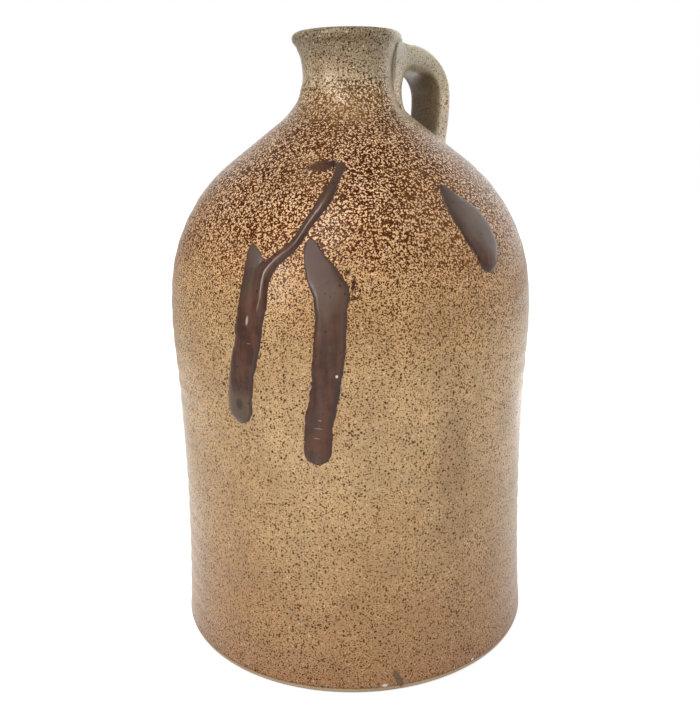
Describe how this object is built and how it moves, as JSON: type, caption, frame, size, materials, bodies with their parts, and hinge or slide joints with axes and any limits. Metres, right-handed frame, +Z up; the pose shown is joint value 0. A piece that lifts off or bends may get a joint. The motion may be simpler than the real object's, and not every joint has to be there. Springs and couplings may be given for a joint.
{
  "type": "stoneware jug",
  "caption": "Stoneware storage jug with a round shoulder, a narrow flared neck and a pulled strap handle, salt-glazed with dark glaze runs.",
  "frame": {"origin": "centre of the flat foot, on the turning axis", "axes": "+Z up along the turning axis, -Y to the front with the glaze runs, +X to the right, the handle behind the right shoulder at 35 degrees from +X towards +Y"},
  "size_m": [0.1728, 0.173, 0.28],
  "materials": {
    "stoneware": "salt-glazed tan stoneware, orange-peel brown on the shoulder, dark iron specks, grey-buff neck and handle",
    "dark_glaze": "thick glossy dark red-brown glaze"
  },
  "bodies": {
    "root": {"jug": "stoneware", "glaze_fork": "dark_glaze", "glaze_long": "dark_glaze", "glaze_side": "dark_glaze"}
  },
  "joints": []
}
